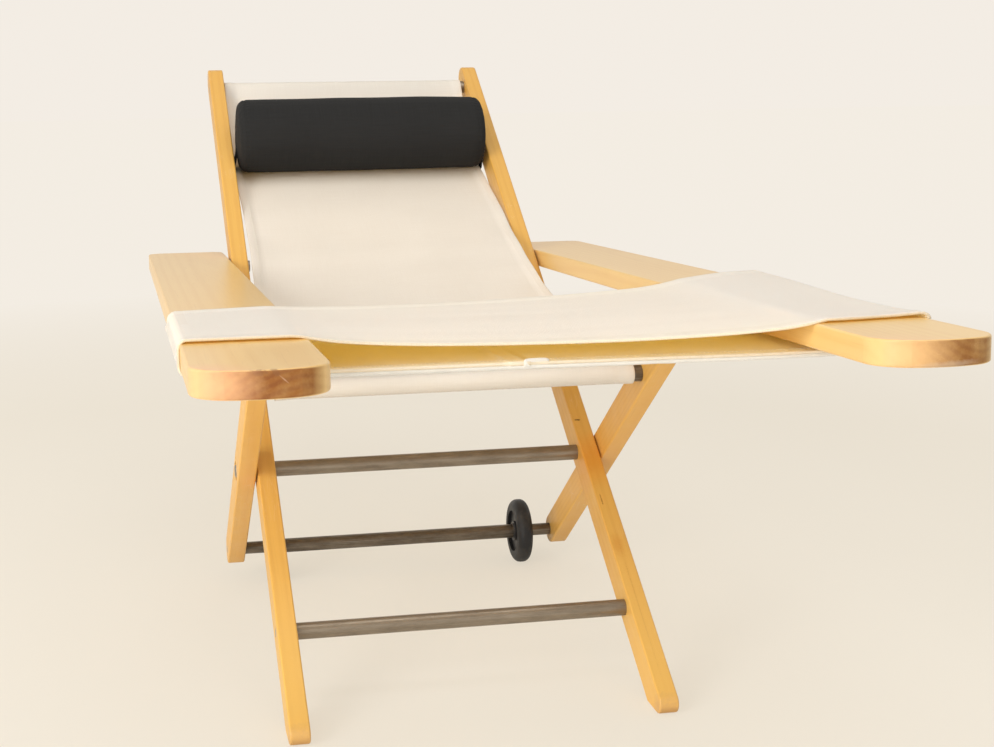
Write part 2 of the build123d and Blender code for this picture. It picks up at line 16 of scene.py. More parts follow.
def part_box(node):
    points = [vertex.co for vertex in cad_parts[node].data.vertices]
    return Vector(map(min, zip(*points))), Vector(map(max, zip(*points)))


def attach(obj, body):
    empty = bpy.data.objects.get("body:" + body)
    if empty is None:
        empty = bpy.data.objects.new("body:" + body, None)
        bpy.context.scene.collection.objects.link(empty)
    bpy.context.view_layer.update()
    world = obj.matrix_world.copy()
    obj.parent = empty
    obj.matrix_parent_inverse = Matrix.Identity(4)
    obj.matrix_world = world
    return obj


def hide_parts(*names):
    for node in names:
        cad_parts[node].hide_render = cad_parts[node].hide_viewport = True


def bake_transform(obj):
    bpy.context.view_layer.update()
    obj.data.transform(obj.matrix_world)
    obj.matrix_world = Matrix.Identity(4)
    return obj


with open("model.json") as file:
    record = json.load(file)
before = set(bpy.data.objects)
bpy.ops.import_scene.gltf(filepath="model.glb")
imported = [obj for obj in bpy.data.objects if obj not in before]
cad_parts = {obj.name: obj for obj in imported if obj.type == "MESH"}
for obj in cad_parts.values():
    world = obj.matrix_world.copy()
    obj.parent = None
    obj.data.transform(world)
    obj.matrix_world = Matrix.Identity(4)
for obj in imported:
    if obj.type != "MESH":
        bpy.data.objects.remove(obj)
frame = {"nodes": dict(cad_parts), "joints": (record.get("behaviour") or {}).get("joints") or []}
nodes = frame["nodes"]
joints = {joint["name"]: joint for joint in frame["joints"]}
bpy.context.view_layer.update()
print("pieces in the frame", len(nodes))

# %% [markdown]
# Most shapes below follow the rods, the boards and the bolts. Their centres are read from the frame, so
# the cloth always ends up round the rod that carries it.

# %% Find the rods, the boards and their directions
def middle(node):
    low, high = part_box(node)
    return (low + high) / 2


def half_size(node):
    low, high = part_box(node)
    return (high - low) / 2


def spaced(low, high, steps):
    # Evenly spaced numbers, with both ends.
    return [low + (high - low) * n / steps for n in range(steps + 1)]


def in_scene(name, data):
    made = bpy.data.objects.new(name, data)
    bpy.context.scene.collection.objects.link(made)
    return made


head_rod = middle("head_rod")
seat_rod = middle("seat_rod")
bolster_centre = middle("bolster")
pivot = Vector(joints["frame_fold"]["pos_m"])
arm_bolt = Vector(joints["arms_swing"]["pos_m"])
rod_radius = half_size("head_rod").z
rail_angle = atan2(arm_bolt.z - pivot.z, arm_bolt.y - pivot.y)
leg_angle = atan2(seat_rod.z - pivot.z, pivot.y - seat_rod.y)
arm_forward = Vector(joints["leg_sling_slide"]["axis"])
arm_angle = atan2(arm_forward.z, -arm_forward.y)
arm_up = Vector((0, sin(arm_angle), cos(arm_angle)))
across = Vector((1, 0, 0))
arm_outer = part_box("right_armrest")[1].x
arm_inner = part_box("right_armrest")[0].x
arm_half = 0.013
print("slopes", [round(a * 180 / pi, 2) for a in (rail_angle, leg_angle, arm_angle)])

# %% [markdown]
# The camera stands where the photograph was taken: low, in front and to the left, looking down a little.
# Its axes are built from three angles, because a camera matrix holds its right, up and backward directions.

# %% Set up the camera
PHOTO_WIDTH = 994
FOCAL_PIXELS = 1634.825
CENTRE_PIXEL = 420
SENSOR = 36.0
camera_from_pivot = Vector((-0.4316, -2.2399, 0.8578))
turn, tip, tilt = 0.1859, -0.2090, -0.0069

camera_data = bpy.data.cameras.new("photo_camera")
camera_data.sensor_width = SENSOR
camera_data.lens = FOCAL_PIXELS / PHOTO_WIDTH * SENSOR
camera_data.shift_x = (PHOTO_WIDTH / 2 - CENTRE_PIXEL) / PHOTO_WIDTH
camera = in_scene("photo_camera", camera_data)
look = Vector((sin(turn) * cos(tip), cos(turn) * cos(tip), sin(tip)))
level = Vector((cos(turn), -sin(turn), 0))
upright = level.cross(look)
right = level * cos(tilt) + upright * sin(tilt)
up = upright * cos(tilt) - level * sin(tilt)
place = camera_from_pivot + Vector((0, pivot.y, 0))
camera.matrix_world = Matrix([[right[i], up[i], -look[i], place[i]] for i in range(3)] + [[0, 0, 0, 1]])
bpy.context.scene.camera = camera
print("lens", round(camera_data.lens, 2), "mm")

# %% [markdown]
# Every material here is a small tree of shader nodes. Wiring such trees by hand takes many lines, so a
# wrapper does it: each call adds a node, fills its sockets with values or with other sockets, and gives
# back the node or the socket that comes out.

# %% Helpers for shader trees
class Tree:
    def __init__(self, tree):
        self.tree = tree

    def fill(self, node, **inputs):
        # A socket is named with _ for each space, or by its place: i0, i1 and so on.
        for key, value in inputs.items():
            socket = node.inputs[int(key[1:]) if key[0] == "i" and key[1:].isdigit() else key.replace("_", " ")]
            if isinstance(value, bpy.types.NodeSocket):
                self.tree.links.new(value, socket)
            else:
                socket.default_value = (*value, 1) if socket.type == "RGBA" else value
        return node

    def put(self, kind, settings=None, **inputs):
        made = self.tree.nodes.new(kind if kind.startswith("Geometry") else "ShaderNode" + kind)
        for key, value in (settings or {}).items():
            setattr(made, key, value)
        return self.fill(made, **inputs)

    def maths(self, operation, a, b=0.0, c=0.0):
        return self.put("Math", {"operation": operation}, i0=a, i1=b, i2=c).outputs[0]

    def times(self, a, b):
        return self.maths("MULTIPLY", a, b)

    def vectors(self, operation, **inputs):
        return self.put("VectorMath", {"operation": operation}, **inputs).outputs[operation == "LENGTH"]

    def mixed(self, factor, a, b, how="MIX"):
        return self.put("Mix", {"data_type": "RGBA", "blend_type": how}, i0=factor, i6=a, i7=b).outputs[2]

    def ranged(self, value, low, high, to_low=0.0, to_high=1.0):
        return self.put("MapRange", Value=value, From_Min=low, From_Max=high, To_Min=to_low,
                        To_Max=to_high).outputs[0]

    def spot(self):
        return self.put("TexCoord").outputs["Object"]

    def stretched(self, vector, scale=(1, 1, 1), turn=(0, 0, 0), shift=(0, 0, 0)):
        return self.put("Mapping", Vector=vector, Scale=scale, Rotation=turn, Location=shift).outputs[0]

    def cloudy(self, vector, size, detail=2.0, roughness=0.5):
        # Soft noise: with three sizes it is finer along some axes than along others.
        if isinstance(size, tuple):
            vector, size = self.stretched(vector, size), 1.0
        return self.put("TexNoise", Vector=vector, Scale=size, Detail=detail, Roughness=roughness).outputs[0]

    def bumped(self, shader, height, distance, strength):
        bump = self.put("Bump", Height=height, Distance=distance, Strength=strength)
        self.fill(shader, Normal=bump.outputs[0])

    def either(self, share, first, second, end):
        # Two shaders mixed, and sent to the tree's own output.
        both = self.put("MixShader", i0=share, i1=first.outputs[0], i2=second.outputs[0])
        self.fill(self.tree.nodes[end], Surface=both.outputs[0])

    def seen_directly(self):
        path = self.put("LightPath").outputs
        return self.maths("MAXIMUM", path["Is Camera Ray"],
                          self.maths("MAXIMUM", path["Is Glossy Ray"], path["Is Transmission Ray"]))


def new_group(name, inputs, outputs, kind="ShaderNodeTree"):
    group = bpy.data.node_groups.new(name, kind)
    for way, sockets in (("INPUT", inputs), ("OUTPUT", outputs)):
        for label, socket in sockets.items():
            group.interface.new_socket(label, in_out=way, socket_type="NodeSocket" + socket)
    return Tree(group), group.nodes.new("NodeGroupInput").outputs, group.nodes.new("NodeGroupOutput")


def new_material(name, roughness=0.5, metallic=0.0, specular=0.5):
    material = bpy.data.materials.new(name)
    material.use_nodes = True
    t = Tree(material.node_tree)
    shader = t.fill(material.node_tree.nodes["Principled BSDF"], Roughness=roughness, Metallic=metallic,
                    Specular_IOR_Level=specular)
    return material, t, shader


def give(material, *names):
    for name in names:
        nodes[name].data.materials.clear()
        nodes[name].data.materials.append(material)

# %% [markdown]
# The timber is a straight-grained, honey-coloured wood under oil. Sawn timber shows its growth rings as
# long lines on the faces and as arcs on the ends. Rings round an axis beside the board give both at once,
# so one group serves every board. The grain runs along Y, and each material turns its board to suit.

# %% The timber grain group
t, given, result = new_group(
    "timber_grain", {"Vector": "Vector", "Pale": "Color", "Deep": "Color", "Dark": "Color", "End Tone": "Color",
                     "End Grain": "Float"}, {"Color": "Color", "Height": "Float", "Polish": "Float"})
grain_group = t.tree
board, deep, dark = given["Vector"], given["Deep"], given["Dark"]
waver = t.cloudy(board, (7.0, 1.1, 7.0))
bent = t.vectors("MULTIPLY_ADD", i0=waver, i1=(0.02, 0.0, 0.02), i2=board)
rings = t.put("TexWave", {"wave_type": "RINGS", "rings_direction": "Y"}, Vector=t.stretched(bent, (1.0, 0.1, 1.0)),
              Scale=40.0, Distortion=1.6, Detail=2.0).outputs[1]
fibre = t.cloudy(bent, (520.0, 9.0, 520.0), 3.0, 0.6)
flecks = t.cloudy(bent, (700.0, 14.0, 700.0), 1.0)
tone = t.cloudy(board, (9.0, 1.6, 9.0), 3.0)
faces = t.mixed(t.times(t.ranged(rings, 0.35, 1.0), 0.24), given["Pale"], deep)
faces = t.mixed(t.ranged(tone, 0.35, 0.75, 0.0, 0.4), faces, deep)
faces = t.mixed(t.ranged(fibre, 0.58, 0.8, 0.0, 0.14), faces, dark)
faces = t.mixed(t.ranged(flecks, 0.66, 0.74, 0.0, 0.1), faces, dark)
soaked = t.cloudy(board, (16.0, 16.0, 34.0), 4.0, 0.55)
ends = t.mixed(t.ranged(rings, 0.2, 0.9, 0.35, 0.7), deep, dark)
ends = t.mixed(t.ranged(soaked, 0.34, 0.66, 0.25, 0.6), ends, dark)
ends = t.mixed(1.0, ends, given["End Tone"], "MULTIPLY")
handled = t.cloudy(board, (38.0, 38.0, 38.0), 4.0, 0.65)
end_share = t.times(given["End Grain"], t.ranged(handled, 0.3, 0.6, 0.75, 1.0))
t.fill(result, Color=t.mixed(end_share, faces, ends), Polish=t.ranged(handled, 0.3, 0.7),
       Height=t.maths("MULTIPLY_ADD", fibre, 0.6, t.times(rings, 0.25)))

# %% [markdown]
# Hands and floors leave small scuffs on timber: thin, short, pale lines at odd angles. A cell pattern
# stretched far along one way gives such lines, and a cloud mask keeps them in patches.

# %% The scuff group
t, given, result = new_group("scuffs", {"Vector": "Vector", "Amount": "Float"}, {"Mask": "Float"})
scuff_group = t.tree
lines = t.put("TexVoronoi", {"feature": "DISTANCE_TO_EDGE"}, Scale=1.0,
              Vector=t.stretched(given["Vector"], (260.0, 26.0, 150.0), (0.5, 0.3, 0.9))).outputs[0]
patch = t.ranged(t.cloudy(given["Vector"], (22, 22, 22)), 0.56, 0.66)
scuffed = t.times(t.ranged(lines, 0.0, 0.035, 1.0, 0.0), patch)
t.fill(result, Mask=t.times(scuffed, given["Amount"]))

# %% [markdown]
# Each board gets its own material: the same grain, turned to the board's slope, shifted so that no two
# boards look alike. The ends take up more oil and dirt, so faces that look along the board are darker.

# %% Timber for each board
def timber(name, slope, shift, pale=(0.76, 0.43, 0.09), deep=(0.62, 0.29, 0.05), end_low=0.86, scuffing=0.35,
           gloss=(0.5, 0.36), relief=0.3, end_tone=(1, 1, 1)):
    material, t, shader = new_material(name)
    spot = t.put("TexCoord").outputs
    along = t.stretched(spot["Object"], turn=(-slope, 0, 0), shift=shift)
    facing = t.stretched(spot["Normal"], turn=(-slope, 0, 0))
    end = t.maths("ABSOLUTE", t.put("SeparateXYZ", Vector=facing).outputs[1])
    end_share = t.ranged(end, end_low, min(0.995, end_low + 0.3))
    grain = t.put("Group", {"node_tree": grain_group}, Vector=along, Pale=pale, Deep=deep,
                  Dark=(0.33, 0.12, 0.022), End_Tone=end_tone, End_Grain=end_share).outputs
    scuffs = t.put("Group", {"node_tree": scuff_group}, Vector=along, Amount=scuffing).outputs[0]
    rough = t.put("Mix", {"data_type": "FLOAT"}, i0=t.times(end_share, 0.8),
                  i2=t.ranged(grain["Polish"], 0.0, 1.0, *gloss), i3=0.75).outputs[0]
    t.fill(shader, Base_Color=t.mixed(scuffs, grain["Color"], (0.86, 0.62, 0.38)), Roughness=rough)
    if relief:
        t.bumped(shader, grain["Height"], 0.0004, relief)
    return material


arm_looks = dict(pale=(0.81, 0.545, 0.215), deep=(0.7, 0.4, 0.12), end_low=0.55, scuffing=0.12, gloss=(0.3, 0.3),
                 relief=0.0)
leg_looks = dict(pale=(0.85, 0.49, 0.115), deep=(0.7, 0.34, 0.07))
boards = (("left_back_rail", rail_angle, (0.03, 0.1, 0.045), {}),
          ("right_back_rail", rail_angle, (-0.5, 0.7, 0.03), {}),
          ("left_seat_leg", -leg_angle, (0.2, 1.4, -0.06), leg_looks),
          ("right_seat_leg", -leg_angle, (-0.31, 2.2, 0.05), leg_looks),
          ("left_armrest", -arm_angle, (0.27, 3.1, -0.43), {**arm_looks, "end_tone": (0.56, 0.39, 0.13)}),
          ("right_armrest", -arm_angle, (-0.36, 4.3, -0.57), {**arm_looks, "end_tone": (0.64, 0.56, 0.37)}),
          ("left_arm_rack", -arm_angle, (0.31, 5.2, -0.4), {}),
          ("right_arm_rack", -arm_angle, (-0.2, 6.1, -0.44), {}))
for board_name, slope, shift, looks in boards:
    give(timber("timber_" + board_name, slope, shift, **looks), board_name)
print("timber pieces", len(boards))

# %% [markdown]
# Real boards also carry single marks: a knot, a dark streak, worn edges, a scratch. Each is a soft spot of
# another colour at one place. Other spots are painted light and shade: painted shade where the leg crosses
# the right rail, a painted highlight on the left of each nose, and painted light on the rails near the floor.

# %% Marks, painted light and painted shade on the timber
NOSE_REACH = 1.266


def tinted_spot(name, centre, size, turn, tint, amount, ragged=0.35):
    material = bpy.data.materials["timber_" + name]
    t, shader = Tree(material.node_tree), material.node_tree.nodes["Principled BSDF"]
    before = shader.inputs["Base Color"].links[0].from_socket
    spot = t.spot()
    local = t.stretched(t.vectors("SUBTRACT", i0=spot, i1=centre), turn=turn)
    far = t.vectors("LENGTH", i0=t.stretched(local, tuple(1 / c for c in size)))
    uneven = t.maths("ADD", far, t.ranged(t.cloudy(spot, 300.0, 3.0), 0.3, 0.7, -ragged, ragged))
    share = t.ranged(uneven, 0.2 + ragged, 1.5 - 1.2 * ragged, amount, 0.0)
    t.fill(shader, Base_Color=t.mixed(share, before, tint))


def on_nose(x, rise=0.0, back=0.0):
    return tuple(arm_bolt + arm_forward * (NOSE_REACH - back) + across * x + arm_up * rise)


flat, sloped = (0, 0, 0), (-rail_angle, 0, 0)
worn, painted_light_size, foot_brown, foot_size = (0.2, 0.075, 0.02), (0.06, 0.14, 0.06), (0.58, 0.33, 0.13), (0.04, 0.018, 0.02)
for name, *mark in (
        ("right_back_rail", (0.2308, 0.0601, 0.2883), (0.0045, 0.0022, 0.0016), flat, (0.12, 0.035, 0.006), 0.85),
        # painted shade: a warm dark patch where the leg crosses the right rail
        ("right_back_rail", (0.2368, -0.0065, 0.2455), (0.05, 0.042, 0.05), sloped, (0.72, 0.28, 0.02), 0.6, 0.1),
        ("right_back_rail", (0.2288, -0.0707, 0.2043), (0.0011, 0.012, 0.003), sloped, (0.36, 0.13, 0.015), 0.8, 0.3),
        ("right_back_rail", (0.2315, -0.142, 0.159), (0.009, 0.02, 0.008), sloped, (0.62, 0.26, 0.03), 0.55, 0.2),
        ("right_back_rail", (0.234, -0.2378, 0.097), (0.0008, 0.1, 0.003), sloped, (0.5, 0.21, 0.03), 0.6, 0.5),
        # painted light: both rails are paler near the floor
        ("right_back_rail", (0.2368, -0.29, 0.04), painted_light_size, sloped, (0.86, 0.52, 0.125), 0.7, 0.03),
        ("left_back_rail", (-0.2368, -0.28, 0.045), painted_light_size, sloped, (0.86, 0.53, 0.13), 0.75, 0.03),
        ("right_back_rail", (0.2306, -0.353, 0.006), foot_size, flat, foot_brown, 0.6, 0.2),
        ("left_back_rail", (-0.2341, -0.353, 0.006), foot_size, flat, foot_brown, 0.6, 0.2),
        ("left_armrest", on_nose(-0.3165, 0.011), (0.009, 0.006, 0.0035), flat, worn, 0.6),
        ("left_armrest", on_nose(-0.302, 0.011), (0.005, 0.006, 0.0045), flat, worn, 0.6),
        ("left_armrest", on_nose(-0.2943, 0.0035), (0.0052, 0.006, 0.0007), (0, -0.75, 0), (0.85, 0.6, 0.4), 0.3, 0.2),
        # painted highlight: the left part of each nose is paler, where the light falls from the left
        ("left_armrest", on_nose(-0.366, back=0.004), (0.038, 0.04, 0.03), flat, (0.83, 0.44, 0.22), 0.85, 0.03),
        ("right_armrest", on_nose(0.268, back=0.004), (0.04, 0.04, 0.03), flat, (0.83, 0.5, 0.22), 0.85, 0.03),
        ("right_armrest", on_nose(0.315, -0.0105), (0.034, 0.008, 0.0034), (0, 0.04, 0), (0.6, 0.5, 0.39), 0.3, 0.2)):
    tinted_spot(name, *mark)

# %% [markdown]
# The rods are raw steel: dark, brownish, with fine lines along them from drawing the bar and a mottled
# film of oxide. A metal's look lives in its roughness, so the mottling drives that as well as the colour.

# %% Raw steel for the rods, a darker copy as painted shade, brighter steel for the fittings
def raw_steel(name, film, bright, rough_low, rough_high):
    material, t, shader = new_material(name, metallic=0.85)
    spot = t.spot()
    drawn = t.cloudy(spot, (9.0, 800.0, 800.0), 3.0, 0.6)
    mottle = t.cloudy(spot, (26.0, 110.0, 110.0), 5.0, 0.7)
    colour = t.mixed(t.ranged(mottle, 0.3, 0.7), film, bright)
    colour = t.mixed(t.ranged(drawn, 0.55, 0.75, 0.0, 0.4), colour, (0.46, 0.40, 0.33))
    t.fill(shader, Base_Color=colour, Roughness=t.ranged(mottle, 0.3, 0.7, rough_high, rough_low))
    t.bumped(shader, t.maths("ADD", drawn, mottle), 0.0003, 0.3)
    return material


give(raw_steel("rod_steel", (0.218, 0.178, 0.134), (0.325, 0.272, 0.208), 0.3, 0.5),
     "head_rod", "lower_rod", "pivot_rod")
# Painted shade: the seat rod, the axle and its spacer tube sit in shade under the chair, so they get a darker copy of
# the rod steel.
give(raw_steel("shaded_rod_steel", (0.1, 0.08, 0.058), (0.21, 0.175, 0.135), 0.32, 0.5),
     "seat_rod", "axle", "axle_spacer_tube")
give(raw_steel("fitting_steel", (0.2, 0.18, 0.155), (0.4, 0.37, 0.33), 0.28, 0.42),
     "pivot_inner_washers", "pivot_outer_washers", "pivot_nuts", "arm_washers", "arm_pivot_bolts", "arm_inserts",
     "rail_rod_screws", "leg_rod_screws", "rack_screws", "wheel_clips")

# %% [markdown]
# Tyres are solid black rubber with a dusty bloom, and hubs are moulded black plastic with a fine grain
# from the mould. Both are nearly black, so small changes of gloss carry the difference.

# %% Rubber and moulded plastic
def moulded(name, base, bloom, grain_size, grain_depth, rough_low, rough_high):
    material, t, shader = new_material(name, specular=0.4)
    spot = t.spot()
    dust = t.cloudy(spot, (45.0, 45.0, 45.0), 4.0, 0.6)
    pits = t.cloudy(spot, (grain_size, grain_size, grain_size))
    t.fill(shader, Base_Color=t.mixed(t.ranged(dust, 0.45, 0.75), base, bloom),
           Roughness=t.ranged(dust, 0.3, 0.7, rough_low, rough_high))
    t.bumped(shader, pits, grain_depth, 0.5)
    return material


give(moulded("tyre_rubber", (0.012, 0.012, 0.013), (0.05, 0.046, 0.042), 900.0, 0.0003, 0.45, 0.7),
     "left_tyre", "right_tyre")
give(moulded("hub_plastic", (0.02, 0.02, 0.021), (0.045, 0.043, 0.042), 1600.0, 0.0001, 0.32, 0.5),
     "left_hub", "right_hub")
give(moulded("bush_nylon", (0.06, 0.058, 0.055), (0.1, 0.095, 0.09), 1600.0, 0.0001, 0.4, 0.55),
     "left_wheel_bush", "right_wheel_bush")

# %% [markdown]
# Canvas is a plain weave: each yarn goes over one and under the next. Two sets of waves across each other
# give the over and under, and long noise along each yarn gives the thick and thin places of spun cotton.
# The pattern reads the cloth's own UV map, which holds metres along and across the cloth. Unbleached cloth
# also lets light through and makes it warmer, which is why the space inside the leg sling glows orange.

# %% The weave group
t, given, result = new_group(
    "plain_weave", {"Vector": "Vector", "Yarn": "Color", "Gap": "Color", "Threads": "Float"},
    {"Color": "Color", "Height": "Float", "Roughness": "Float"})
weave_group = t.tree
cloth, gap = given["Vector"], given["Gap"]
way = t.put("SeparateXYZ", Vector=cloth).outputs
over, under = (t.maths("SINE", t.times(way[k], t.times(given["Threads"], pi))) for k in (0, 1))
crown = t.maths("POWER", t.maths("ABSOLUTE", t.times(over, under)), 0.6)
slub = t.times(t.maths("ADD", t.cloudy(cloth, (16.0, 900.0, 1.0)), t.cloudy(cloth, (900.0, 16.0, 1.0))), 0.5)
tone = t.cloudy(cloth, (6.0, 6.0, 1.0), 4.0, 0.55)
colour = t.mixed(t.ranged(crown, 0.0, 0.55, 0.5, 0.0), given["Yarn"], gap)
colour = t.mixed(t.ranged(slub, 0.42, 0.62, 0.16, 0.0), colour, gap)
colour = t.mixed(t.ranged(tone, 0.38, 0.72, 0.0, 0.14), colour, gap)
t.fill(result, Color=colour, Height=t.maths("ADD", crown, t.times(slub, 0.8)),
       Roughness=t.ranged(slub, 0.3, 0.7, 0.95, 0.8))


def weave(t, shader, spot, yarn, gap, threads, depth, strength):
    # The weave's relief and roughness on a shader. Its colour is given back.
    made = t.put("Group", {"node_tree": weave_group}, Vector=spot, Yarn=yarn, Gap=gap, Threads=threads).outputs
    t.fill(shader, Roughness=made["Roughness"])
    t.bumped(shader, made["Height"], depth, strength)
    return made["Color"]


def woven(name, yarn, gap, threads, depth, through, glow=(1.0, 0.76, 0.28)):
    material, t, shader = new_material(name, specular=0.2)
    spot = t.put("UVMap", {"uv_map": "cloth"}).outputs[0]
    t.fill(shader, Base_Color=weave(t, shader, spot, yarn, gap, threads, depth, 0.6))
    inside = t.put("NewGeometry").outputs["Backfacing"]
    t.either(t.ranged(inside, 0.0, 1.0, through, 0.97), shader, t.put("BsdfTranslucent", Color=glow),
             "Material Output")
    return material


cream_canvas = woven("cream_canvas", (0.885, 0.83, 0.745), (0.72, 0.64, 0.54), 1000.0, 0.00025, 0.1)
band_canvas = woven("band_canvas", (0.975, 0.97, 0.89), (0.88, 0.85, 0.75), 1000.0, 0.00025, 0.2)
hem_canvas = woven("hem_canvas", (0.8, 0.715, 0.57), (0.66, 0.57, 0.43), 1000.0, 0.0002, 0.1)
white_tape = woven("white_tape", (0.76, 0.74, 0.69), (0.62, 0.6, 0.54), 2400.0, 0.00008, 0.15, (0.95, 0.9, 0.82))
seam_thread, t, shader = new_material("seam_thread", 0.7)
t.fill(shader, Base_Color=(0.84, 0.77, 0.64))

# %% [markdown]
# Cloth has two faces and a thickness, which grows where it is folded over for a hem. So the cloth pieces
# are made from a grid of points along the middle of the cloth, with a thickness at each point. The helper
# works out which way each point faces, sets a skin on both sides and closes the edges.

# %% Cloth from a grid of points
def closed_piece(name, points, faces, materials=(), uv=None):
    # Puts a closed mesh in the scene with its faces turned outward.
    mesh = bpy.data.meshes.new(name)
    mesh.from_pydata([tuple(point) for point in points], [], faces)
    for material in materials:
        mesh.materials.append(material)
    if uv:
        layer = mesh.uv_layers.new(name="cloth")
        for loop in mesh.loops:
            layer.data[loop.index].uv = uv[loop.vertex_index % len(uv)]
        for polygon in mesh.polygons:
            polygon.use_smooth = len(polygon.vertices) == 4
    work = bmesh.new()
    work.from_mesh(mesh)
    if work.calc_volume(signed=True) < 0:
        bmesh.ops.reverse_faces(work, faces=work.faces)
    work.to_mesh(mesh)
    print(name, "holds", round(work.calc_volume() * 1e6, 1), "cubic cm")
    work.free()
    return in_scene(name, mesh)


def cloth_shell(name, grid, thickness, material, closed=False, side_material=None):
    rows, columns = len(grid), len(grid[0])
    count = rows * columns

    def at(i, j):
        i = i % rows if closed else min(max(i, 0), rows - 1)
        return grid[i][min(max(j, 0), columns - 1)]

    outer, inner, uv = [], [], []
    travel = [0.0] * columns
    for i in range(rows):
        run = 0.0
        for j in range(columns):
            if i:
                travel[j] += (at(i, j) - at(i - 1, j)).length
            if j:
                run += (at(i, j) - at(i, j - 1)).length
            normal = (at(i + 1, j) - at(i - 1, j)).cross(at(i, j + 1) - at(i, j - 1)).normalized()
            half = thickness(i, j) / 2
            outer.append(at(i, j) + normal * half)
            inner.append(at(i, j) - normal * half)
            uv.append((travel[columns // 2], run))
    faces, sides = [], []

    def edge(a, b, flip):
        faces.append((a, b, b + count, a + count) if flip else (a + count, b + count, b, a))

    for i in range(rows if closed else rows - 1):
        here, after = i * columns, (i + 1) % rows * columns
        for j in range(columns - 1):
            a, b, c, d = here + j, after + j, after + j + 1, here + j + 1
            faces += [(a, b, c, d), (a + count, d + count, c + count, b + count)]
        for j, flip in ((0, False), (columns - 1, True)):
            edge(here + j, after + j, flip)
            sides.append(len(faces) - 1)
    if not closed:
        for i, flip in ((0, True), (rows - 1, False)):
            for j in range(columns - 1):
                edge(i * columns + j, i * columns + j + 1, flip)
    materials = [material, side_material] if side_material else [material]
    piece = closed_piece(name, outer + inner, faces, materials, uv)
    if side_material:
        for side in sides:
            piece.data.polygons[side].material_index = 1
    return piece


def smooth_step(value, low, high):
    share = min(max((value - low) / (high - low), 0.0), 1.0)
    return share * share * (3 - 2 * share)


def wavy(size, *place):
    return noise.noise(Vector(place)) * size


def curve_through(table, share):
    # A smooth curve through given pairs, by the slopes of their neighbours.
    k = max(n for n in range(len(table) - 1) if table[n][0] <= share or n == 0)
    x0, y0 = table[k]
    x1, y1 = table[k + 1]
    before = table[k - 1] if k else (2 * x0 - x1, 2 * y0 - y1)
    after = table[k + 2] if k + 2 < len(table) else (2 * x1 - x0, 2 * y1 - y0)
    slope0 = (y1 - before[1]) / (x1 - before[0])
    slope1 = (after[1] - y0) / (after[0] - x0)
    w = x1 - x0
    t = (share - x0) / w
    return ((2 * t ** 3 - 3 * t ** 2 + 1) * y0 + (t ** 3 - 2 * t ** 2 + t) * w * slope0
            + (3 * t ** 2 - 2 * t ** 3) * y1 + (t ** 3 - t ** 2) * w * slope1)

# %% [markdown]
# The back canvas is one long cloth. At each end it goes round a rod and is sewn to itself, and between
# the rods it hangs in a long curve. Its line is drawn once from the side, from flap to flap, and then
# repeated across the chair, a little wider towards the seat. It drops quickly from the head rod and then
# runs along beside the straight line between the rods, so that the bolster can slide on it.

# %% The line of the back canvas
canvas_sag = 0.091
canvas_thickness = 0.0014
wrap_radius = rod_radius + 0.0013
sag_shares = ((0.0, 0.0), (0.0029, 0.004), (0.0067, 0.0236), (0.0115, 0.061), (0.05, 0.363), (0.08, 0.6),
              (0.1, 0.757), (0.11, 0.834), (0.12, 0.896), (0.13, 0.929), (0.155, 0.938), (0.183, 0.938),
              (0.26, 0.936), (0.32, 0.938), (0.36, 0.948), (0.4, 0.965), (0.48, 1.0), (0.56, 0.985), (0.64, 0.93),
              (0.72, 0.83), (0.8, 0.67), (0.88, 0.44), (0.94, 0.23), (1.0, 0.0))
chord = seat_rod - head_rod
chord_length = chord.length
down_chair = chord.normalized()
off_chair = across.cross(down_chair)
if off_chair.z < 0:
    off_chair = -off_chair
half_back = 0.2175
half_seat = 0.238
head_offset = 0.0028
taper_start = 0.45 * chord_length
flap_reach = 0.046
flap_drop = 0.0021


def canvas_height(run):
    return wrap_radius - canvas_sag * curve_through(sag_shares, min(max(run / chord_length, 0.0), 1.0))


def canvas_half(run):
    share = min(max((run - taper_start) / (chord_length - taper_start), 0.0), 1.0)
    return half_back + (half_seat - half_back) * share


def pocket(centre_run, direction):
    # From the flap's end round the rod to where the long line starts.
    points = []
    for n in range(7):
        reach = flap_reach * (1 - n / 7)
        run = centre_run + direction * reach
        low = -wrap_radius - 0.0002
        share = smooth_step(reach, 0.004, flap_reach - 0.012)
        points.append((run, low + (canvas_height(run) - flap_drop - low) * share))
    for turn in spaced(radians(-82), radians(90), 14):
        points.append((centre_run - direction * wrap_radius * cos(turn), wrap_radius * sin(turn)))
    return points


long_line = [(run, canvas_height(run)) for run in spaced(0, chord_length, 150)[1:-1]]
canvas_line = pocket(0.0, 1) + long_line + pocket(chord_length, -1)[::-1]

# %% [markdown]
# Real canvas is never quite flat. It has soft creases where it was folded away, and it pulls in small
# waves from the corners. Smooth noise, stretched along the chair, gives those waves. They fade out at
# the rods, where the cloth is tight, and where the bolster lies.

# %% The back canvas
hem_width = 0.014
hem_lip = 0.0012
hem_share = 1 - hem_width / half_back
hem_edge = [hem_share, hem_share + 0.004, 0.995, 1.0]
across_shares = [-share for share in reversed(hem_edge)] + spaced(-hem_share, hem_share, 44)[1:-1] + hem_edge


def canvas_wave(x, run):
    calm = smooth_step(run, 0.02, 0.12) * (1 - smooth_step(run, chord_length - 0.12, chord_length - 0.02))
    calm *= 1 - 0.85 * smooth_step(run, 0.07, 0.11) * (1 - smooth_step(run, 0.35, 0.43))
    waves = wavy(0.0042, x * 5.0, run * 2.4, 3.7) + wavy(0.0011, x * 2.2, run * 19.0, 8.1)
    waves += wavy(0.0013, x * 17.0, run * 2.0, 1.3)
    edge = smooth_step(abs(x), 0.15, half_back)
    return calm * (waves + sin(run * 44.0 + 1.3) * wavy(0.004, run * 3.0, x * 0.5, 5.5) * edge)


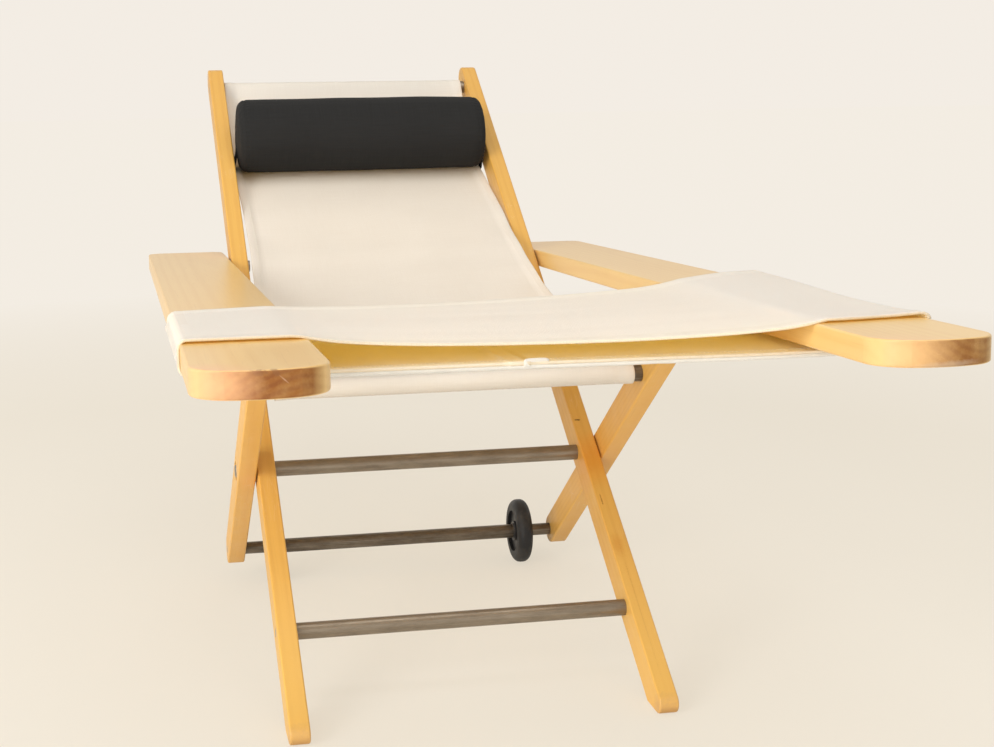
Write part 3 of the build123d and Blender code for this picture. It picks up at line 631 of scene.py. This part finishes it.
def canvas_point(share, run, rise):
    x = share * canvas_half(run) - head_offset * (1 - smooth_step(run, 0.05, 0.5))
    in_line = 0.0 < run < chord_length and rise > canvas_height(run) - 0.0005
    lift = canvas_wave(x, run) if in_line else 0.0
    return head_rod + across * x + down_chair * run + off_chair * (rise + lift)


def canvas_thick(share):
    return canvas_thickness + (hem_lip if abs(share) > hem_share + 0.001 else 0.0)


canvas_grid = [[canvas_point(share, run, rise) for share in across_shares] for run, rise in canvas_line]
back_canvas = cloth_shell("back_canvas", canvas_grid, lambda i, j: canvas_thick(across_shares[j]), cream_canvas)
print("back canvas faces", len(back_canvas.data.polygons))

# %% [markdown]
# The leg sling is a closed band of the same canvas round both boards. It lies on the boards, sags a
# little between them, and its lower half is nearly flat. It was pulled askew, so the back edge of its
# top layer runs at an angle and stands a little off the right board. A closed ring of points seen from the
# front is repeated forwards, from the back edge of each layer to the front edge.

# %% The ring of the leg sling
band_thickness = 0.0015
band_front = 1.0715
front_skew = 0.034
inner_skew = 0.011
band_back_left = 0.803
band_back_right = 0.658
band_under_back = 0.723
band_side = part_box("leg_sling")[1].x - 0.0011
band_left = 0.3755
top_gap = 0.0014
under_level = -0.0186
side_corner = 0.0085
front_sag = 0.0155
back_sag = 0.0085
raised_corner = 0.0095
corner_steps = 6


def band_top(x, forward_share):
    # Height above the boards' middle: a shallow hang between them, and a raised right back corner.
    inside = max(0.0, 1 - (abs(x) / (arm_inner + 0.012)) ** 2)
    sag = (back_sag + (front_sag - back_sag) * forward_share) * inside ** 0.8
    raised = raised_corner * (1 - smooth_step(forward_share, 0.0, 0.75)) * smooth_step(x, 0.2, 0.34)
    ease = 0.0016 * smooth_step(x, 0.33, 0.38) * forward_share
    ease += 0.0014 * smooth_step(forward_share, 0.85, 1.0) * smooth_step(abs(x), 0.22, 0.26)
    return arm_half + top_gap + band_thickness / 2 + raised + ease - sag


def front_edge(kind, x):
    # The front edge, which lies further forward on the right board.
    share = {"under": 0.4, "right": 0.7, "right_under": 0.4}.get(kind, 1.0)
    skew = front_skew * smooth_step(x, -0.1, 0.25) + inner_skew * smooth_step(x, 0.1, 0.25) * (
        1 - smooth_step(x, 0.26, 0.36))
    return band_front + share * skew


lap_left, lap_right, lap_step = -0.0515, -0.0305, 0.0005
corner_left, corner_right = -band_left + side_corner, band_side - side_corner
under_places = {x for x in spaced(corner_right, corner_left, 60) if min(abs(x - lap_left), abs(x - lap_right)) > 0.002}
under_places |= {lap_left - lap_step, lap_left, lap_right, lap_right + lap_step}
corner = spaced(0, 1, corner_steps)[1:-1]
ring = [(kind, value) for kind, values in (
    ("top", spaced(corner_left, corner_right, 96)), ("right_top", corner), ("right", spaced(0, 1, 3)),
    ("right_under", corner), ("under", sorted(under_places, reverse=True)), ("left_under", corner),
    ("left", spaced(0, 1, 3)), ("left_top", corner)) for value in values]


def ring_spot(kind, value, share):
    # Across and up for one place of the ring, and how far back its edge lies.
    low = under_level - 0.0014 * sin(3.1 * share + 0.4)
    if kind == "top":
        skew = (value + band_left) / (band_side + band_left)
        return value, band_top(value, share), band_back_left + (band_back_right - band_back_left) * skew
    if kind == "under":
        return value, low - 0.0022 * max(0.0, 1 - (value / arm_outer) ** 2), band_under_back
    on_right = kind.startswith("right")
    x, side, back = (corner_right, 1, band_back_right) if on_right else (corner_left, -1, band_back_left)
    high = band_top(x, share) - side_corner
    low += side_corner
    if kind in ("left", "right"):
        fall = value if on_right else 1 - value
        return x + side * side_corner, high + (low - high) * fall, back + (band_under_back - back) * fall
    turn = value * pi / 2
    out, up = (sin(turn), cos(turn)) if kind in ("right_top", "left_under") else (cos(turn), sin(turn))
    x += side * side_corner * out
    return (x, high + side_corner * up, back) if kind.endswith("top") else (x, low - side_corner * up, band_under_back)

# %% [markdown]
# The front and back edges are hemmed: the cloth is folded twice and sewn. Extra columns of points near
# those edges carry the step in thickness. Slow noise gives the cloth its ripples, strongest between the
# boards and gone on top of them, where it lies on wood.

# %% The leg sling
band_hem = 0.019
band_lip = 0.0012
lap_lip = 0.0013


def band_columns(back):
    hem = band_hem / (band_front - back)
    return [0.0, 0.004, hem] + spaced(hem + 0.006, 1 - hem - 0.006, 34) + [1 - hem, 0.996, 1.0]


def band_ripple(kind, x, forward):
    free = 1 - smooth_step(abs(x), arm_inner - 0.06, arm_inner + 0.01)
    slow = wavy(0.0035, x * 4.0, forward * 7.0, 2.2)
    pull = wavy(0.0012, x * 3.0, forward * 26.0, 6.4)
    if kind == "under":
        return (slow * 0.7 + pull) * free * 0.6
    return (slow + pull) * free if kind == "top" else 0.0


def on_arms(x, forward, rise):
    return arm_bolt + across * x + arm_forward * forward + arm_up * rise


band_grid = []
for kind, value in ring:
    row = []
    for share in band_columns(ring_spot(kind, value, 0.0)[2]):
        x, rise, back = ring_spot(kind, value, share)
        forward = back + (front_edge(kind, x) - back) * share
        row.append(on_arms(x, forward, rise + band_ripple(kind, x, forward) * (0.35 + 0.65 * sin(pi * share))))
    band_grid.append(row)
band_last = len(band_grid[0]) - 1


def band_thick(i, j):
    hem = j <= 2 or j >= band_last - 2
    kind, value = ring[i]
    lapped = kind == "under" and lap_left - 0.0002 < value < lap_right + 0.0002
    return band_thickness + (band_lip if hem else 0.0) + (lap_lip if lapped else 0.0)


leg_band = cloth_shell("leg_band", band_grid, band_thick, band_canvas, closed=True, side_material=hem_canvas)
print("leg band faces", len(leg_band.data.polygons))

# %% [markdown]
# Stitches repeat hundreds of times along the seams. Geometry Nodes place them: the seam's line is cut at
# even steps, and a small rounded bead of thread is set along the line at each step. The sizes are named
# inputs of the tree, and the result is made a plain mesh.

# %% The stitch tree
BEAD_RINGS, BEAD_SEGMENTS = 5, 6
BEAD_VERTICES = 2 + (BEAD_RINGS - 1) * BEAD_SEGMENTS
t, given, result = new_group(
    "stitch_row", {"Seam": "Geometry", "Spacing": "Float", "Length": "Float", "Thread": "Float",
                   "Material": "Material"}, {"Stitches": "Geometry"}, "GeometryNodeTree")
stitch_tree = t.tree
steps = t.put("GeometryNodeCurveToPoints", {"mode": "LENGTH"}, Curve=given["Seam"], Length=given["Spacing"]).outputs
bead = t.put("GeometryNodeMeshUVSphere", Segments=BEAD_SEGMENTS, Rings=BEAD_RINGS, Radius=given["Thread"])
stretch = t.put("CombineXYZ", X=1.0, Y=1.0, Z=t.maths("DIVIDE", given["Length"], given["Thread"]))
shaped = t.put("GeometryNodeTransform", Geometry=bead.outputs["Mesh"], Scale=stretch.outputs[0])
placed = t.put("GeometryNodeInstanceOnPoints", Points=steps["Points"], Instance=shaped.outputs[0],
               Rotation=steps["Rotation"])
real = t.put("GeometryNodeRealizeInstances", Geometry=placed.outputs[0])
smooth = t.put("GeometryNodeSetShadeSmooth", Geometry=real.outputs[0])
dressed = t.put("GeometryNodeSetMaterial", Geometry=smooth.outputs[0], Material=given["Material"])
t.fill(result, Stitches=dressed.outputs[0])


def stitched(name, lines, spacing=0.0042, length=0.0016, thread=0.00038):
    data = bpy.data.curves.new(name, "CURVE")
    data.dimensions = "3D"
    for line in lines:
        spline = data.splines.new("POLY")
        spline.points.add(len(line) - 1)
        for point, spot in zip(spline.points, line):
            point.co = (*spot, 1.0)
    seam = in_scene(name, data)
    modifier = seam.modifiers.new("grown", "NODES")
    modifier.node_group = stitch_tree
    values = {"Spacing": spacing, "Length": length, "Thread": thread, "Material": seam_thread}
    for item in stitch_tree.interface.items_tree:
        if item.item_type == "SOCKET" and item.in_out == "INPUT" and item.name in values:
            modifier[item.identifier] = values[item.name]
    bpy.context.view_layer.update()
    mesh = bpy.data.meshes.new_from_object(seam.evaluated_get(bpy.context.evaluated_depsgraph_get()))
    mesh.name = name
    bpy.data.objects.remove(seam)
    print(name, len(mesh.vertices) // BEAD_VERTICES, "stitches")
    return in_scene(name, mesh)

# %% [markdown]
# Two rows of stitches close each rod pocket of the back canvas, and one row holds each side hem. Each bead
# of thread has its middle a hair above the skin of the cloth, so that it is half sunk in it.

# %% Stitches of the back canvas
STITCH_LIFT = 0.0001


def on_canvas(share, run):
    return canvas_point(share, run, canvas_height(run)) + off_chair * (canvas_thick(share) / 2 + STITCH_LIFT)


side_runs = spaced(0.03, chord_length - 0.03, 240)
canvas_seams = [[on_canvas(side * (hem_share + 0.012), run) for run in side_runs] for side in (-1, 1)]
for run in (0.031, 0.037, chord_length - 0.031, chord_length - 0.037):
    canvas_seams.append([on_canvas(share, run) for share in spaced(-0.985, 0.985, 60)])
back_stitches = stitched("back_canvas_stitches", canvas_seams)

# %% [markdown]
# The band is sewn along both hems, above and below. Its stitches lie on the skin in the same way, but the
# skin bends two ways here, so the direction off the cloth is worked out at each point.

# %% Stitches of the leg sling
def band_line(wanted, column):
    line = []
    for i, (kind, value) in enumerate(ring):
        if kind == wanted:
            here, before, after = band_grid[i], band_grid[i - 1], band_grid[(i + 1) % len(ring)]
            normal = (after[column] - before[column]).cross(here[column + 1] - here[column - 1]).normalized()
            line.append(here[column] + normal * ((band_thickness + band_lip) / 2 + STITCH_LIFT))
    return line


band_seams = [band_line(kind, column) for kind in ("top", "under") for column in (2, band_last - 2)]
band_stitches = stitched("leg_band_stitches", band_seams)

# %% [markdown]
# A thick roll of cloth runs along the lower front edge. It is a soft tube: its radius wavers a little, and
# it follows the edge of the band. The small white tab beside it is left bare.

# %% The hem roll and the small tab
def tube(name, line, radius, sides, material, wobble):
    points, faces, uv = [], [], []
    last = len(line) - 1
    for n, spot in enumerate(line):
        ahead = (line[min(n + 1, last)] - line[max(n - 1, 0)]).normalized()
        flat = ahead.cross(arm_up).normalized()
        high = flat.cross(ahead).normalized()
        from_end = min(n, last - n, 2)
        closing = max(sqrt(1 - (1 - from_end / 2) ** 2), 0.35)
        size = radius * (1 + wavy(wobble, n * 0.35, 2.0, 7.0)) * closing
        for k in range(sides):
            turn = 2 * pi * k / sides
            points.append(spot + flat * size * cos(turn) + high * size * sin(turn))
            uv.append((n * 0.006, radius * turn))
    for n in range(last):
        for k in range(sides):
            a, b = n * sides + k, n * sides + (k + 1) % sides
            faces.append((a, b, b + sides, a + sides))
    faces += [tuple(range(sides))[::-1], tuple(last * sides + k for k in range(sides))]
    return closed_piece(name, points, faces, [material], uv)


hem_radius = 0.0023
hem_low, hem_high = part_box("leg_sling_hem")
hem_line = []
for x in spaced(hem_low.x + 0.002, hem_high.x - 0.002, 120):
    rise = ring_spot("under", x, 1.0)[1] + band_ripple("under", x, band_front) * 0.35
    drop = rise - (band_thickness + band_lip) / 2 - hem_radius + 0.0002
    hem_line.append(on_arms(x, front_edge("under", x) - hem_radius, drop))
hem_roll = tube("leg_band_hem_roll", hem_line, hem_radius, 12, white_tape, 0.25)
tab_height = 0.0086
tab_drop = 0.0019
tab_bow = 0.0006
tab_rounding = 0.0016
tab_thickness = 0.0007
tab_low, tab_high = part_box("care_tab")
tab_grid = []
for n, x in enumerate(spaced(tab_low.x, tab_high.x, 8)):
    column = []
    for rise in spaced(-0.5, 0.5, 6):
        bow = tab_bow * sin(pi * n / 8) * rise
        corner = tab_rounding * max(0.0, rise) * 2 * (abs(n - 4) / 4) ** 6
        spot = (tab_low + tab_high) / 2 + arm_up * (rise * tab_height - tab_drop - corner) - arm_forward * bow
        spot.x = x
        column.append(spot)
    tab_grid.append(column)
care_tab = cloth_shell("blank_tab", tab_grid, lambda i, j: tab_thickness, white_tape)

# %% [markdown]
# The bolster is a firm round cushion in a dark, tightly woven cover. The cover is a tube with a round
# panel sewn in at each end. A revolved shape a little too thin is blown up by the cloth simulation, which
# gives the small unevenness of real stuffing, and the seams are pressed in afterwards.

# %% The bolster's shape
bolster_radius = half_size("bolster").z
bolster_half = half_size("bolster").x
start_radius = bolster_radius - 0.0016
start_half = bolster_half + 0.0004
end_rounding = 0.015
SIDES = 72


def bolster_profile(x):
    # The radius at a place along the bolster: full, with soft round ends.
    reach = start_half - abs(x)
    if reach >= end_rounding:
        return start_radius - 0.0012 * (x / start_half) ** 2
    return start_radius - 0.0012 - end_rounding + sqrt(max(0.0, end_rounding ** 2 - (end_rounding - reach) ** 2))


end_places = [start_half - end_rounding * (1 - cos(radians(90 * n / 8))) for n in range(9)]
full_half = start_half - end_rounding
places = sorted({round(x, 6) for x in [side * x for x in end_places for side in (-1, 1)]
                 + spaced(-full_half, full_half, 50)})
points = [bolster_centre + across * places[0]]
for x in places:
    for k in range(SIDES):
        turn = 2 * pi * k / SIDES
        points.append(bolster_centre + Vector((x, cos(turn) * bolster_profile(x), sin(turn) * bolster_profile(x))))
points.append(bolster_centre + across * places[-1])
end = 1 + (len(places) - 1) * SIDES
pairs = [(k, (k + 1) % SIDES) for k in range(SIDES)]
faces = [(a + k, a + SIDES + k, a + SIDES + m, a + m) for a in range(1, end, SIDES) for k, m in pairs]
faces += [(0, 1 + k, 1 + m) for k, m in pairs] + [(end + m, end + k, len(points) - 1) for k, m in pairs]
bolster = closed_piece("bolster_cover", points, faces)
print("bolster", round(bolster_radius, 4), round(bolster_half, 4))

# %% Blow up the bolster
def modify(piece, kind, **values):
    bpy.ops.object.select_all(action="DESELECT")
    piece.select_set(True)
    bpy.context.view_layer.objects.active = piece
    modifier = piece.modifiers.new(kind, kind)
    for key, value in values.items():
        setattr(modifier, key, value)
    bpy.ops.object.modifier_apply(modifier=modifier.name)


def inflate(piece, voxel, pressure, frames, cap):
    modify(piece, "REMESH", mode="VOXEL", voxel_size=voxel)
    before = [v.co.copy() for v in piece.data.vertices]
    stuffing = piece.modifiers.new("stuffing", "CLOTH")
    for key, value in dict(use_pressure=True, uniform_pressure_force=pressure, tension_stiffness=18,
                           compression_stiffness=18, shear_stiffness=9, bending_stiffness=0.4).items():
        setattr(stuffing.settings, key, value)
    stuffing.settings.effector_weights.gravity = 0
    stuffing.point_cache.frame_start = 1
    stuffing.point_cache.frame_end = frames
    for step in range(1, frames + 1):
        bpy.context.scene.frame_set(step)
    blown = piece.evaluated_get(bpy.context.evaluated_depsgraph_get()).data
    moved = [v.co.copy() for v in blown.vertices]
    bpy.context.scene.frame_set(1)
    piece.modifiers.remove(stuffing)
    for vertex, old, new in zip(piece.data.vertices, before, moved):
        step = new - old
        vertex.co = old + step * min(1.0, cap / step.length) if step.length > 0 else old
    return max((new - old).length for old, new in zip(before, moved))


print("bolster swelled by", round(inflate(bolster, 0.005, 4.0, 20, 0.003), 4))

# %% [markdown]
# After the stuffing come the sewn details. A groove runs round each end where the panel meets the tube,
# and one seam runs along the tube at the back. The cover also has faint pulls that start at those seams.
# Where the cushion lies on the canvas it is pressed a little flat, so it can slide along it.

# %% Sew the bolster
modify(bolster, "SUBSURF", levels=1, render_levels=1)
seam_inset = 0.0115
seam_depth = 0.0011
seam_half_width = 0.0022
long_seam_turn = radians(250)
limit_radius = bolster_radius + 0.0002
lying_depth = bolster_radius - 0.0015
flattening = 0.9
for vertex in bolster.data.vertices:
    spot = vertex.co - bolster_centre
    radial = hypot(spot.y, spot.z)
    turn = atan2(spot.z, spot.y) % (2 * pi)
    if radial < 1e-6:
        continue
    out = Vector((0, spot.y / radial, spot.z / radial))
    on_side = smooth_step(radial, 0.04, 0.055)
    from_seam = abs(bolster_half - 0.0015 - abs(spot.x) - seam_inset)
    around = abs(turn - long_seam_turn) * radial
    press = seam_depth * (max(0.0, 1 - from_seam / seam_half_width)
                          + max(0.0, 1 - around / seam_half_width) * on_side)
    soft = 0.0005 * sin(turn * 46) * max(0.0, 1 - from_seam / 0.012)
    soft += wavy(0.0012, spot.x * 9.0, cos(turn) * 1.4, sin(turn) * 1.4)
    soft += wavy(0.0007, spot.x * 3.0, cos(turn) * 5.0, sin(turn) * 5.0)
    reach = min(radial + soft * on_side - press, limit_radius)
    slump = 0.0022 + 0.0042 * smooth_step(-spot.x, 0.08, 0.19) + 0.0022 * smooth_step(spot.x, 0.12, 0.19)
    place = across * spot.x + out * reach + down_chair * max(0.0, out.dot(down_chair)) * slump * on_side
    too_low = min(0.0, lying_depth + place.dot(off_chair))
    vertex.co = bolster_centre + place - off_chair * too_low * flattening
for polygon in bolster.data.polygons:
    polygon.use_smooth = True
print("bolster faces", len(bolster.data.polygons))

# %% [markdown]
# The cover is a dark, fine, slightly hairy cloth. It has no UV map after the simulation, so its weave
# follows the round shape by angle and length, which the material works out from Object coordinates.

# %% Dark cloth for the bolster and its strap
def dark_cloth(name, threads, round_centre=None):
    material, t, shader = new_material(name, specular=0.14)
    spot = cloth = t.spot()
    if round_centre is not None:
        parts = t.put("SeparateXYZ", Vector=t.stretched(spot, shift=tuple(-c for c in round_centre))).outputs
        round_way = t.times(t.maths("ARCTAN2", parts[2], parts[1]), bolster_radius)
        cloth = t.put("CombineXYZ", X=parts[0], Y=round_way, Z=0.0).outputs[0]
    colour = weave(t, shader, cloth, (0.024, 0.0235, 0.023), (0.010, 0.010, 0.010), threads, 0.0002, 0.5)
    lint = t.put("TexVoronoi", {"feature": "F1"}, Vector=spot, Scale=120.0)
    speck = t.ranged(lint.outputs["Distance"], 0.0, 0.06, 0.35, 0.0)
    patch = t.ranged(t.cloudy(spot, 14.0), 0.5, 0.7)
    t.fill(shader, Base_Color=t.mixed(t.times(speck, patch), colour, (0.2, 0.19, 0.18)),
           Sheen_Weight=0.01, Sheen_Roughness=0.4)
    return material


bolster.data.materials.clear()
bolster.data.materials.append(dark_cloth("bolster_cloth", 700.0, bolster_centre))
strap_cloth = dark_cloth("strap_cloth", 1300.0)

# %% [markdown]
# The strap is a flat elastic tape. It leaves the bolster's ends, passes round the edges of the canvas and
# runs behind it. Its line is rounded at every turn, and its edges stand up a little, as woven tape does.

# %% The bolster strap
def in_chair(point):
    # Down and off the chair, from the head rod, of a point in space.
    from_rod = point - head_rod
    return from_rod.dot(down_chair), from_rod.dot(off_chair)


strap_spots = [in_chair(v.co) for v in nodes["bolster_strap"].data.vertices]
strap_start = min(run for run, _ in strap_spots)
strap_end = max(run for run, _ in strap_spots)
strap_back = min(rise for _, rise in strap_spots) + 0.00075
bolster_rise = in_chair(bolster_centre)[1]
strap_inner_x = bolster_half + 0.0022
tape_thickness = 0.0012
tape_edge = 0.0015
strap_outer_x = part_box("bolster_strap")[1].x - 0.0008
strap_turns = [(strap_inner_x, bolster_rise + 0.012), (strap_inner_x, bolster_rise - 0.034),
               (strap_outer_x, bolster_rise - 0.052), (strap_outer_x, strap_back + 0.004),
               (strap_outer_x - 0.004, strap_back)]


def rounded(points, steps, reach):
    # Cuts each corner of a line with a small curve.
    points = [Vector(point) for point in points]
    smooth = points[:1]
    for a, b, c in zip(points, points[1:], points[2:]):
        cut = min(reach, (b - a).length / 2.1, (c - b).length / 2.1)
        start, end = b + (a - b).normalized() * cut, b + (c - b).normalized() * cut
        smooth += [start * (1 - n) ** 2 + b * 2 * n * (1 - n) + end * n * n for n in spaced(0, 1, steps)]
    return smooth + points[-1:]


strap_right = rounded(strap_turns, 5, 0.006)
strap_path = (strap_right + [Vector((x, strap_back)) for x in spaced(strap_right[-1].x, -strap_right[-1].x, 30)[1:-1]]
              + [Vector((-p.x, p.y)) for p in reversed(strap_right)])
strap_shares = [0.0, 0.05, 0.1, 0.3, 0.5, 0.7, 0.9, 0.95, 1.0]
strap_grid = [[head_rod + across * p.x + off_chair * p.y
               + down_chair * (strap_start + (strap_end - strap_start) * share) for share in strap_shares]
              for p in strap_path]
bolster_tape = cloth_shell("bolster_tape", strap_grid,
                           lambda i, j: tape_edge if strap_shares[j] in (0.05, 0.95) else tape_thickness, strap_cloth)

# %% [markdown]
# Now each piece is fixed to the body it rides on, and the solid it replaces is hidden. The back canvas and
# its stitches keep their place and are fixed to no body.

# %% Fix the pieces to the bodies
for piece in (back_canvas, back_stitches):
    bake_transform(piece)
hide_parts("back_sling")
for piece in (leg_band, band_stitches, hem_roll):
    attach(piece, "leg_sling_band")
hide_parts("leg_sling")
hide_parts("leg_sling_hem")
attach(care_tab, "leg_sling_band")
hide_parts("care_tab")
for piece in (bolster, bolster_tape):
    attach(piece, "headrest")
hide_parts("bolster")
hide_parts("bolster_strap")

# %% [markdown]
# The chair stands on a plain pale floor in soft light. Large lamps give soft shadows. Most of what the
# camera sees of the floor is its own even tone, and the rest takes shadows. The background is pale because
# its own colour is, not because of strong light.

# %% Floor, lamps and background
floor_paint, t, shader = new_material("floor_paint", 0.8, specular=0.1)
far = t.ranged(t.vectors("LENGTH", i0=t.spot()), 1.6, 3.2)
even = t.put("Emission", Color=t.mixed(far, (0.885, 0.805, 0.675), (0.9, 0.845, 0.765)), Strength=1.0)
t.fill(shader, Base_Color=(0.9, 0.87, 0.81))
t.either(t.times(t.seen_directly(), t.ranged(far, 0.0, 1.0, 0.72, 1.0)), shader, even, "Material Output")
floor_mesh = bpy.data.meshes.new("floor")
reach = 14.0
floor_mesh.from_pydata([(-reach, -reach, 0), (reach, -reach, 0), (reach, reach, 0), (-reach, reach, 0)], [],
                       [(0, 1, 2, 3)])
floor_mesh.materials.append(floor_paint)
floor = in_scene("floor", floor_mesh)
for name, place, aim, size, power, colour in (
        ("key_lamp", (-4.4, -3.2, 2.4), (0, -0.2, 0.3), 2.5, 173, (1.0, 0.98, 0.95)),
        ("front_lamp", (-1.9, -3.5, 0.6), (0, -0.2, 0.1), 2.0, 50, (1.0, 0.98, 0.95)),
        ("top_lamp", (0.1, -1.5, 3.7), (0, -0.4, 0.4), 3.0, 58, (0.975, 0.99, 1.0))):
    data = bpy.data.lights.new(name, "AREA")
    data.shape, data.size, data.energy, data.color = "SQUARE", size, power, colour
    lamp = in_scene(name, data)
    lamp.location = place
    lamp.rotation_euler = (Vector(aim) - Vector(place)).to_track_quat("-Z", "Y").to_euler()
world = bpy.data.worlds.new("pale_room")
bpy.context.scene.world = world
world.use_nodes = True
sky = Tree(world.node_tree)
plain = sky.fill(world.node_tree.nodes["Background"], Color=(0.93, 0.9, 0.85), Strength=0.52)
seen = sky.put("Background", Color=(0.9, 0.845, 0.775), Strength=1.0)
sky.either(sky.seen_directly(), plain, seen, "World Output")
bpy.context.scene.view_settings.view_transform = "Standard"
